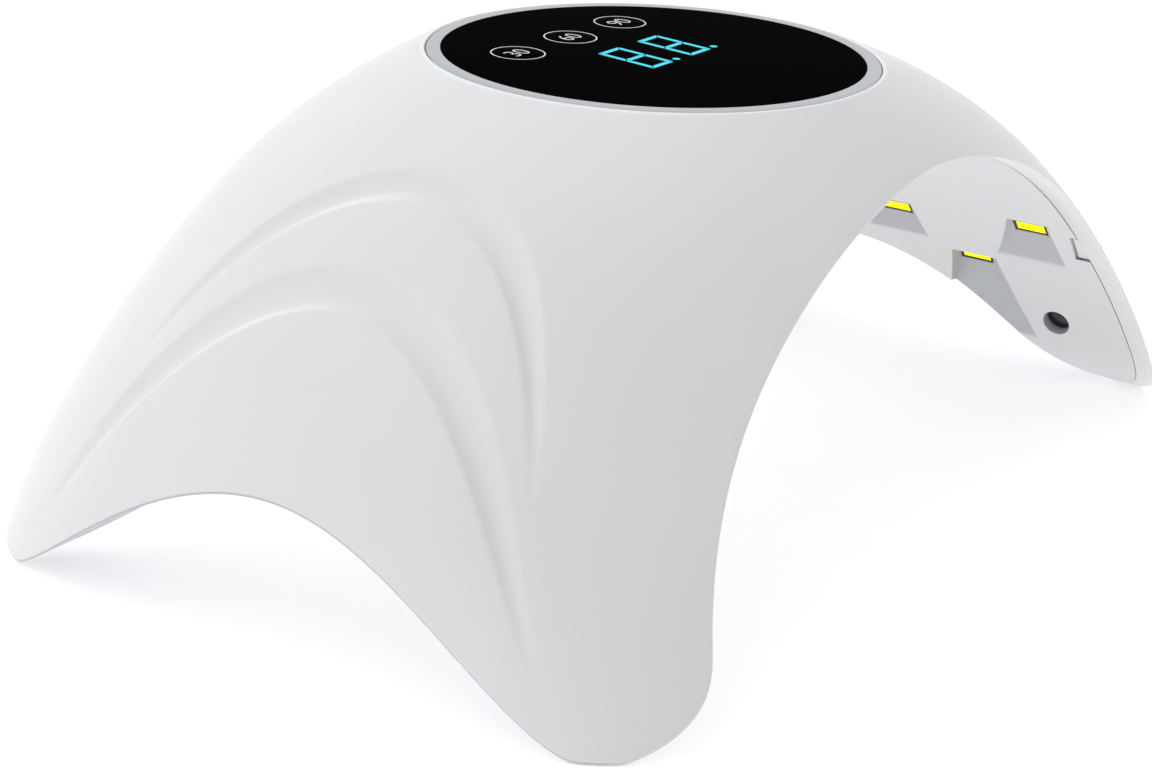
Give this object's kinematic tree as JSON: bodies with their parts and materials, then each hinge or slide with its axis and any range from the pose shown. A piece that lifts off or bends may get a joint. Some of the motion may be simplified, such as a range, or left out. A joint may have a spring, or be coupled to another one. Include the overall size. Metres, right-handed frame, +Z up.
{
  "type": "mini uv nail lamp",
  "caption": "Small white nail-curing lamp: a four-toed arched dome open on all sides, with a round black display, press buttons and light windows in its inner walls.",
  "frame": {"origin": "on the ground under the middle of the lamp", "axes": "+X to the user's right, +Y from the user to the back, +Z up"},
  "size_m": [0.1712, 0.1086, 0.0618],
  "materials": {
    "shell_white": "satin moulded",
    "liner_white": "satin moulded",
    "bezel_silver": "satin",
    "panel_black": "polished",
    "adhesive_black": "matt",
    "digit_cyan": "lit",
    "module_white": "matt",
    "board_green": "solder mask",
    "screw_steel": "plated",
    "socket_steel": "plated",
    "chip_black": "moulded epoxy",
    "capacitor_sleeve": "shrink sleeve",
    "resistor_body": "glazed",
    "connector_cream": "moulded nylon",
    "light_board": "black solder mask",
    "emitter_yellow": "phosphor",
    "frame_black": "moulded",
    "infrared_dark": "clear dark epoxy",
    "lead_jacket": "extruded",
    "button_black": "polished",
    "plunger_white": "moulded",
    "switch_steel": "pressed"
  },
  "bodies": {
    "root": {"outer_shell": "shell_white", "inner_liner": "liner_white", "display_bezel": "bezel_silver", "display_lens": "panel_black", "lens_adhesive": "adhesive_black", "digit_segments": "digit_cyan", "digit_module": "module_white", "main_board": "board_green", "board_screws": "screw_steel", "power_socket": "socket_steel", "controller_chip": "chip_black", "smoothing_capacitor": "capacitor_sleeve", "driver_transistors": "chip_black", "sense_resistors": "resistor_body", "lead_connectors": "connector_cream", "light_board_right": "light_board", "light_board_left": "light_board", "lower_boards_right": "light_board", "lower_boards_left": "light_board", "emitters_right": "emitter_yellow", "emitters_left": "emitter_yellow", "emitter_frames_right": "frame_black", "emitter_frames_left": "frame_black", "sensor_board_right": "board_green", "sensor_board_left": "board_green", "infrared_sender": "infrared_dark", "infrared_receiver": "infrared_dark", "leads_right": "lead_jacket", "leads_left": "lead_jacket", "switch_body_left": "switch_steel", "switch_body_middle": "switch_steel", "switch_body_right": "switch_steel"},
    "button_left_body": {"button_left": "button_black", "switch_plunger_left": "plunger_white"},
    "button_middle_body": {"button_middle": "button_black", "switch_plunger_middle": "plunger_white"},
    "button_right_body": {"button_right": "button_black", "switch_plunger_right": "plunger_white"}
  },
  "joints": [
    {"name": "button_left_press", "type": "slide", "parent": "root", "child": "button_left_body", "axis": [0, 0, -1], "range_m": [0, 0.00035], "stiffness_N_per_m": 2000},
    {"name": "button_middle_press", "type": "slide", "parent": "root", "child": "button_middle_body", "axis": [0, 0, -1], "range_m": [0, 0.00035], "stiffness_N_per_m": 2000},
    {"name": "button_right_press", "type": "slide", "parent": "root", "child": "button_right_body", "axis": [0, 0, -1], "range_m": [0, 0.00035], "stiffness_N_per_m": 2000}
  ]
}
